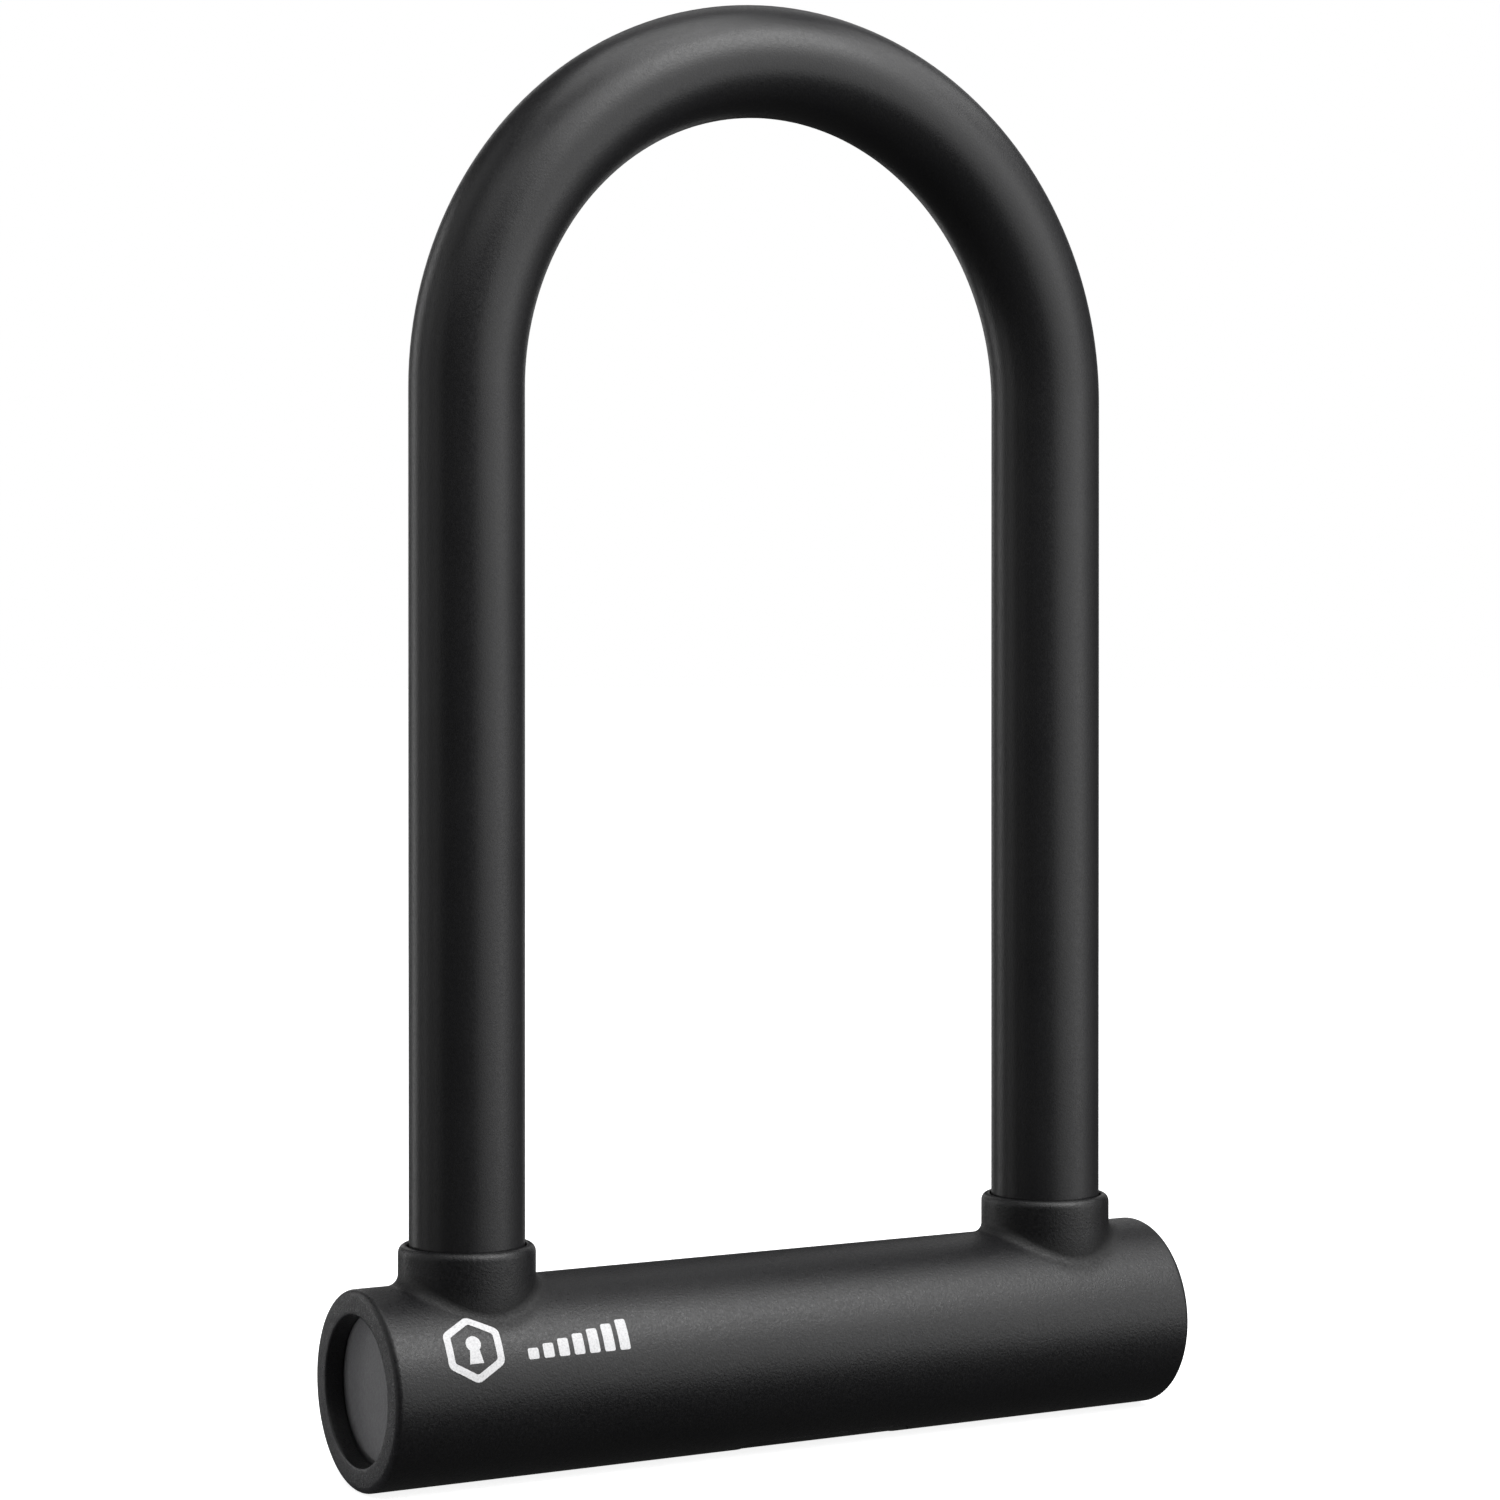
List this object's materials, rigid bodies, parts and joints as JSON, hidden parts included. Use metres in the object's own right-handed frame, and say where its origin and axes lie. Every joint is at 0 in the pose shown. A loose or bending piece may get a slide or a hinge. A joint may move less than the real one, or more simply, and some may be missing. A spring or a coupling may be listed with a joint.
{
  "type": "u lock",
  "caption": "Bicycle U-lock: a sleeved steel shackle held in a tubular crossbar by two deadbolts, thrown by a disc-detainer key cylinder under the bar.",
  "frame": {"origin": "lowest point under the middle of the crossbar, in the plane of the shackle", "axes": "+X along the crossbar, +Z along the shackle's legs towards the arch, +Y square to the shackle's plane; the keyhole faces -Z"},
  "size_m": [0.169, 0.036, 0.2701],
  "materials": {
    "sleeve": "matte soft-touch sleeve",
    "cover": "matte, finely grained",
    "end_plug": "matte, finely grained",
    "nylon": "satin moulded nylon",
    "pad_rubber": "matte",
    "hardened_steel": "hardened, satin",
    "steel": "zinc plated",
    "zinc": "die cast, as cast",
    "brass": "machined"
  },
  "bodies": {
    "crossbar": {"barrel_lower": "zinc", "barrel_pin_left": "steel", "barrel_pin_right": "steel", "barrel_screw_1": "steel", "barrel_screw_2": "steel", "barrel_screw_3": "steel", "barrel_screw_4": "steel", "barrel_upper": "zinc", "crossbar_tube": "hardened_steel", "cylinder_set_screw": "steel", "cylinder_shell": "brass", "end_plug_left": "end_plug", "end_plug_pin_left": "steel", "end_plug_pin_right": "steel", "end_plug_right": "end_plug", "foot_pad_left": "pad_rubber", "foot_pad_right": "pad_rubber", "guide_bush_left": "nylon", "guide_bush_right": "nylon", "keyhole_surround": "nylon", "outer_cover": "cover", "retaining_ring": "steel"},
    "shackle": {"shackle_bar": "hardened_steel", "shackle_sleeve": "sleeve"},
    "plug": {"code_disc_1": "brass", "code_disc_2": "brass", "code_disc_3": "brass", "code_disc_4": "brass", "code_disc_5": "brass", "code_disc_6": "brass", "disc_carrier": "brass", "disc_spacer_1": "steel", "disc_spacer_2": "steel", "disc_spacer_3": "steel", "disc_spacer_4": "steel", "disc_spacer_5": "steel", "drive_cam": "steel", "front_disc": "steel", "sidebar": "steel"},
    "bolt_left": {"bolt_left": "steel"},
    "bolt_right": {"bolt_right": "steel"},
    "dust_cover": {"dust_cover": "nylon"}
  },
  "joints": [
    {"name": "shackle_lift", "type": "slide", "parent": "crossbar", "child": "shackle", "axis": [0, 0, 1], "range_m": [0, 0.06]},
    {"name": "key_turn", "type": "hinge", "parent": "crossbar", "child": "plug", "pos_m": [0, 0, 0.018], "axis": [0, 0, 1], "range_deg": [0, 90]},
    {"name": "bolt_left_slide", "type": "slide", "parent": "crossbar", "child": "bolt_left", "axis": [-1, 0, 0], "range_m": [0, 0.0056]},
    {"name": "bolt_right_slide", "type": "slide", "parent": "crossbar", "child": "bolt_right", "axis": [1, 0, 0], "range_m": [0, 0.0056]},
    {"name": "dust_cover_slide", "type": "slide", "parent": "crossbar", "child": "dust_cover", "axis": [-1, 0, 0], "range_m": [0, 0.0145]}
  ],
  "couplings": [
    {"joint": "key_turn", "follows": "bolt_right_slide", "rad_per_m": 280.49},
    {"joint": "bolt_left_slide", "follows": "bolt_right_slide", "ratio": 1}
  ]
}
